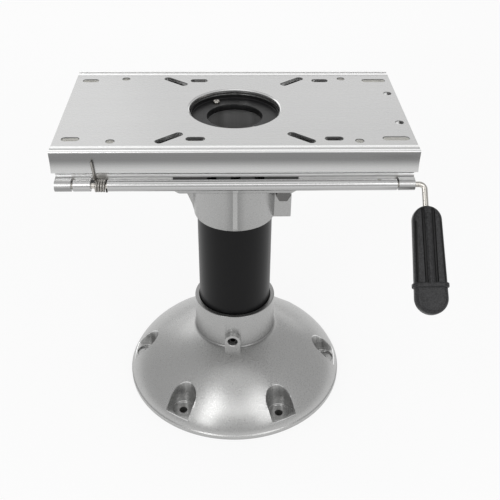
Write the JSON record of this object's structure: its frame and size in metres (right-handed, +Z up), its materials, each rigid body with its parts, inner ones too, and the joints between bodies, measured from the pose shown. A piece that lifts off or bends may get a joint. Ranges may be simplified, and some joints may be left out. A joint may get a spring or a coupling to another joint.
{
  "type": "boat seat pedestal",
  "caption": "Fixed-height boat seat pedestal: domed cast base, black tube column, friction swivel and a fore-and-aft seat slide with a release lever.",
  "frame": {"origin": "on the column's axis at the underside of the base", "axes": "+Z up along the column, +X along the seat slide towards the end with the release lever, -Y towards the lock bar"},
  "size_m": [0.3217, 0.2885, 0.31],
  "materials": {
    "cast_silver": "silver sparkle paint, satin",
    "anodised": "satin clear anodised extrusion",
    "black_tube": "satin black coating",
    "black_plastic": "fine grained black",
    "natural_nylon": "off-white nylon",
    "bright_steel": "bright stainless steel",
    "dark_steel": "black oxide"
  },
  "bodies": {
    "base": {"base_casting": "cast_silver", "base_set_screw": "dark_steel", "column": "black_tube", "top_ring": "black_plastic", "ring_screw_1": "bright_steel", "ring_screw_2": "bright_steel", "thrust_ring": "bright_steel"},
    "swivel": {"swivel_housing": "cast_silver", "swivel_bushing": "natural_nylon", "thrust_washer": "natural_nylon", "wear_washer": "natural_nylon", "clamp_bolt": "bright_steel", "clamp_nut": "bright_steel", "clamp_washer_front": "bright_steel", "clamp_washer_rear": "bright_steel", "track": "anodised", "track_bolt_1": "bright_steel", "track_bolt_2": "bright_steel", "track_bolt_3": "bright_steel", "track_bolt_4": "bright_steel", "glide_front_left": "natural_nylon", "glide_front_right": "natural_nylon", "glide_rear_left": "natural_nylon", "glide_rear_right": "natural_nylon", "torsion_spring": "bright_steel"},
    "seat_mount": {"seat_plate": "anodised", "stop_block_left": "natural_nylon", "stop_block_right": "natural_nylon", "stop_screw_left": "bright_steel", "stop_screw_right": "bright_steel"},
    "lever": {"lock_bar": "anodised", "rod_spacer": "anodised", "lever_rod": "bright_steel", "lever_grip": "black_plastic", "rod_pin": "bright_steel"}
  },
  "joints": [
    {"name": "swivel", "type": "hinge", "parent": "base", "child": "swivel", "pos_m": [0, 0, 0.27], "axis": [0, 0, 1], "continuous": true},
    {"name": "seat_slide", "type": "slide", "parent": "swivel", "child": "seat_mount", "axis": [1, 0, 0], "range_m": [-0.075, 0.075]},
    {"name": "lever", "type": "hinge", "parent": "swivel", "child": "lever", "pos_m": [0, -0.0913, 0.28225], "axis": [-1, 0, 0], "range_deg": [0, 25], "stiffness_Nm_per_rad": 0.8, "springref_deg": -28.65, "deforming": ["torsion_spring"]}
  ]
}
